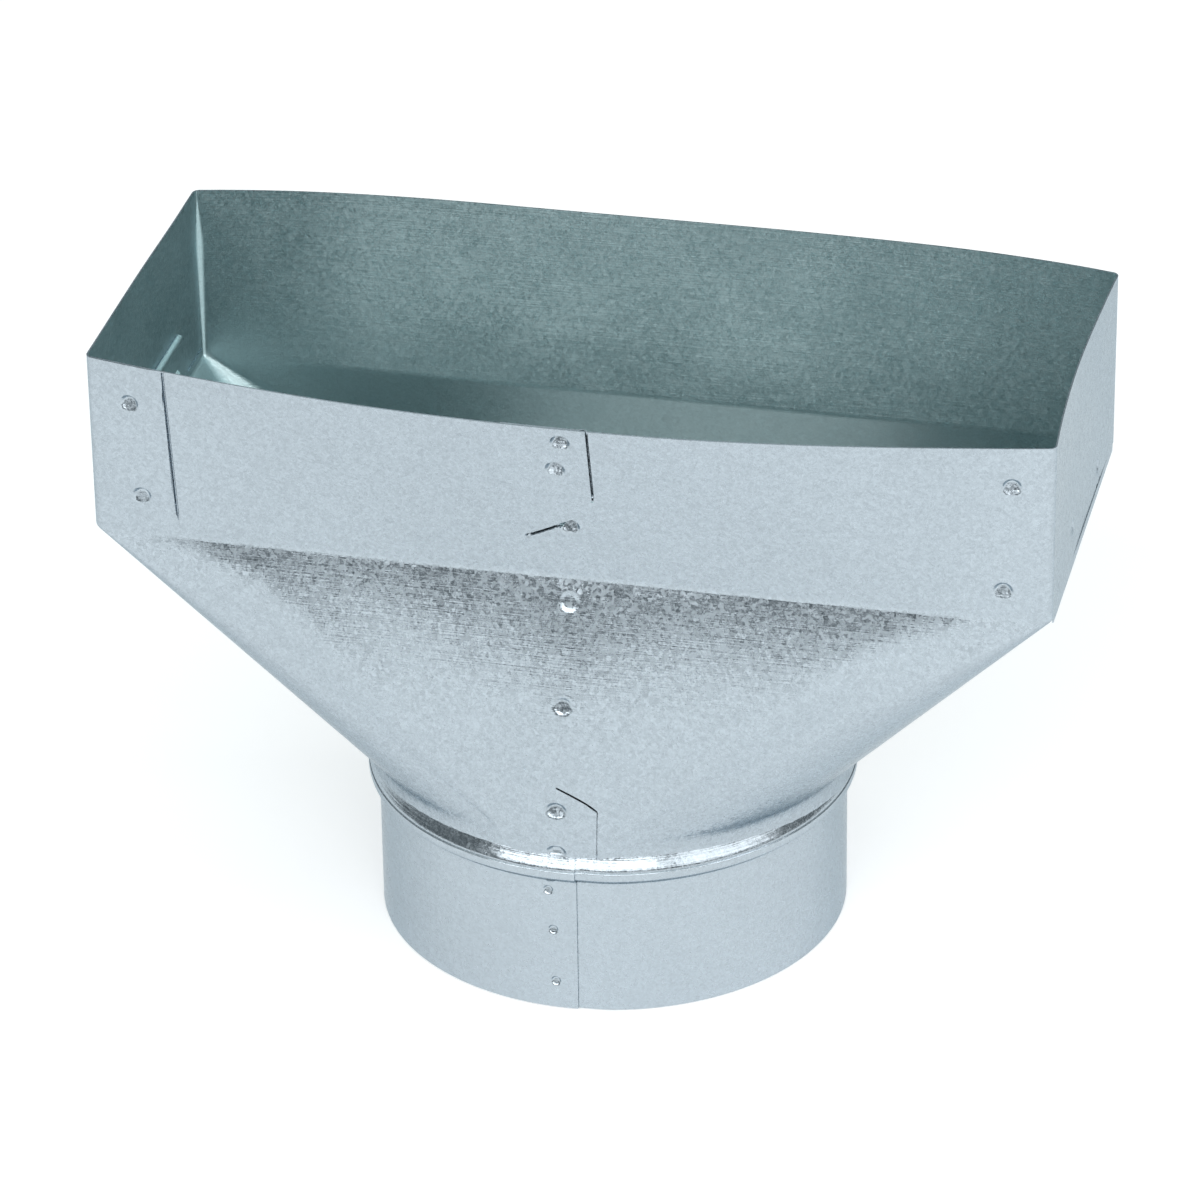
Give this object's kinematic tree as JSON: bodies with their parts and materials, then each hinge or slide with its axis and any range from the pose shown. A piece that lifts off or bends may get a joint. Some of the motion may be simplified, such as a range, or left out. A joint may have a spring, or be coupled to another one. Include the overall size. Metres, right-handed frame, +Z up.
{
  "type": "register boot",
  "caption": "Straight register boot in galvanised sheet: an open rectangular box on top, a square-to-round taper below it and a beaded round duct collar.",
  "frame": {"origin": "centre of the collar's lower edge, which the boot stands on", "axes": "+X along the box's long side, -Y out of the long wall with the lapped seam, +Z up out of the register opening"},
  "size_m": [0.254, 0.1326, 0.175],
  "materials": {
    "galvanised_sheet": "hot-dip galvanised, fine spangle",
    "galvanised_collar": "hot-dip galvanised, fine spangle"
  },
  "bodies": {
    "root": {"boot_body": "galvanised_sheet", "collar": "galvanised_collar"}
  },
  "joints": []
}
